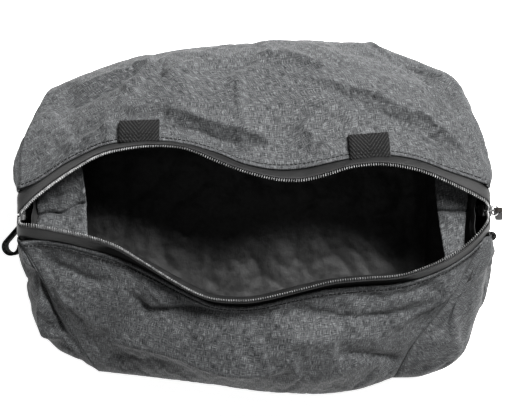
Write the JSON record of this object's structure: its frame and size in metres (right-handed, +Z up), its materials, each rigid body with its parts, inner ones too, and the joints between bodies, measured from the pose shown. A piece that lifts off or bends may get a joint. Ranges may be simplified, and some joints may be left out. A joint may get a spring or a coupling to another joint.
{
  "type": "shoe bag",
  "caption": "Soft fabric shoe bag with a wide zipped mouth held open, webbing tabs on the back lip and a grab loop at each end.",
  "frame": {"origin": "on the floor under the middle of the bag's bounding box", "axes": "+X along the zip towards the slider's end, +Y towards the back panel that carries the webbing tabs, +Z up out of the mouth"},
  "size_m": [0.3274, 0.2321, 0.1194],
  "materials": {
    "heather_fabric": "charcoal heather coated polyester, fine two-tone weave, matte",
    "black_lining": "thin black coated lining, slight sheen, creased",
    "zip_tape": "smooth matte dark-grey film over zip tape",
    "zip_coil": "black nylon coil",
    "webbing": "black herringbone webbing",
    "slider_metal": "black painted die casting, rubbed bright on its edges",
    "ring_metal": "bright steel wire",
    "pull_rubber": "dark brown-grey moulded rubber, matte"
  },
  "bodies": {
    "bag": {"front_lining": "black_lining", "back_lining": "black_lining", "left_end_lining": "black_lining", "right_end_lining": "black_lining", "base_lining": "black_lining", "front_panel": "heather_fabric", "back_panel": "heather_fabric", "left_end_panel": "heather_fabric", "right_end_panel": "heather_fabric", "base_panel": "heather_fabric", "left_mouth_stay": "heather_fabric", "right_mouth_stay": "heather_fabric", "front_zip_tape": "zip_tape", "back_zip_tape": "zip_tape", "front_zip_coil": "zip_coil", "back_zip_coil": "zip_coil", "front_top_stop": "slider_metal", "back_top_stop": "slider_metal", "bottom_stop": "slider_metal"},
    "slider": {"slider_body": "slider_metal"},
    "ring": {"pull_ring": "ring_metal"},
    "pull": {"pull_tab": "pull_rubber"},
    "left_tab": {"left_webbing_tab": "webbing"},
    "right_tab": {"right_webbing_tab": "webbing"},
    "left_loop": {"left_grab_loop": "webbing"},
    "right_loop": {"right_grab_loop": "webbing"}
  },
  "joints": [
    {"name": "slider_travel", "type": "slide", "parent": "bag", "child": "slider", "axis": [-0.1392, 0, -0.9903], "range_m": [0, 0.026]},
    {"name": "pull_ring_swing", "type": "hinge", "parent": "slider", "child": "ring", "pos_m": [0.1527, 0.0038, 0.0836], "axis": [0, -1, 0], "range_deg": [-6, 70]},
    {"name": "pull_tab_swing", "type": "hinge", "parent": "ring", "child": "pull", "pos_m": [0.1575, 0.0038, 0.0794], "axis": [0, -1, 0], "range_deg": [-6, 70]},
    {"name": "left_tab_flip", "type": "hinge", "parent": "bag", "child": "left_tab", "pos_m": [-0.0721, 0.0486, 0.1039], "axis": [0.9968, 0.029, 0.0744], "range_deg": [0, 50], "stiffness_Nm_per_rad": 0.01},
    {"name": "right_tab_flip", "type": "hinge", "parent": "bag", "child": "right_tab", "pos_m": [0.0735, 0.0385, 0.1055], "axis": [0.9953, 0.0779, -0.0572], "range_deg": [0, 45], "stiffness_Nm_per_rad": 0.01},
    {"name": "left_loop_swing", "type": "hinge", "parent": "bag", "child": "left_loop", "pos_m": [-0.1512, -0.007, 0.057], "axis": [0, 0, -1], "range_deg": [0, 70], "stiffness_Nm_per_rad": 0.01},
    {"name": "right_loop_swing", "type": "hinge", "parent": "bag", "child": "right_loop", "pos_m": [0.1524, -0.0136, 0.054], "axis": [0, 0, 1], "range_deg": [-40, 35], "stiffness_Nm_per_rad": 0.01}
  ]
}
